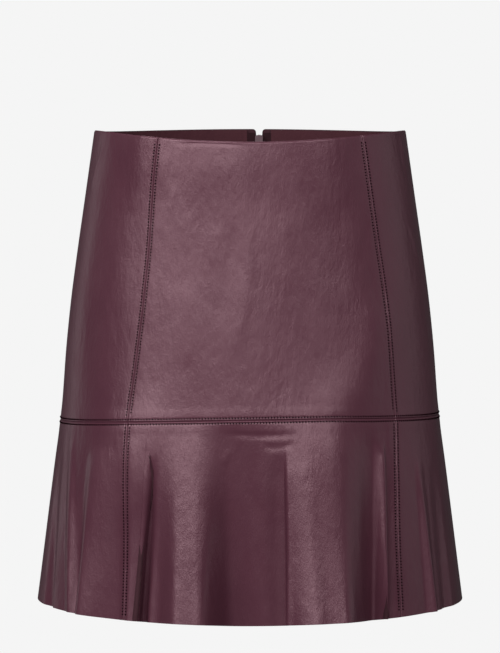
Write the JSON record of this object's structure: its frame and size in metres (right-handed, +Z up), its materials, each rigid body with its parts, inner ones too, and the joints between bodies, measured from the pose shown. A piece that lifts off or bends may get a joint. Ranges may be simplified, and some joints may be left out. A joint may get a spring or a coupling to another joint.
{
  "type": "leather skirt",
  "caption": "Short fitted leather skirt with princess seams, a flared flounce and a concealed back zip, in its worn hollow form.",
  "frame": {"origin": "centre of the waist opening, level with the waist edge at the sides", "axes": "+Z up through the waist; -Y is the front; +X is the wearer's left"},
  "size_m": [0.385, 0.3224, 0.4358],
  "materials": {
    "leather": "smooth burgundy nappa, semi-matt sheen",
    "facing": "dark burgundy, matt",
    "zip_tape": "woven tape, dark burgundy",
    "zip_teeth": "nylon coil, burgundy",
    "zip_metal": "enamelled, dusky pink brown"
  },
  "bodies": {
    "skirt": {"front_centre": "leather", "front_side_right": "leather", "front_side_left": "leather", "back_left": "leather", "back_right": "leather", "flounce_front_centre": "leather", "flounce_front_side_right": "leather", "flounce_front_side_left": "leather", "flounce_back_left": "leather", "flounce_back_right": "leather", "back_facing_left": "facing", "back_facing_right": "facing", "zip_tape_left": "zip_tape", "zip_tape_right": "zip_tape", "zip_chain": "zip_teeth", "zip_slider": "zip_metal"},
    "zip_pull": {"zip_pull": "zip_metal"}
  },
  "joints": [
    {"name": "zip_pull_swing", "type": "hinge", "parent": "skirt", "child": "zip_pull", "pos_m": [0.00867, 0.10745, -0.00348], "axis": [0.9993, -0.0386, 0.0024], "range_deg": [0, 150]}
  ]
}
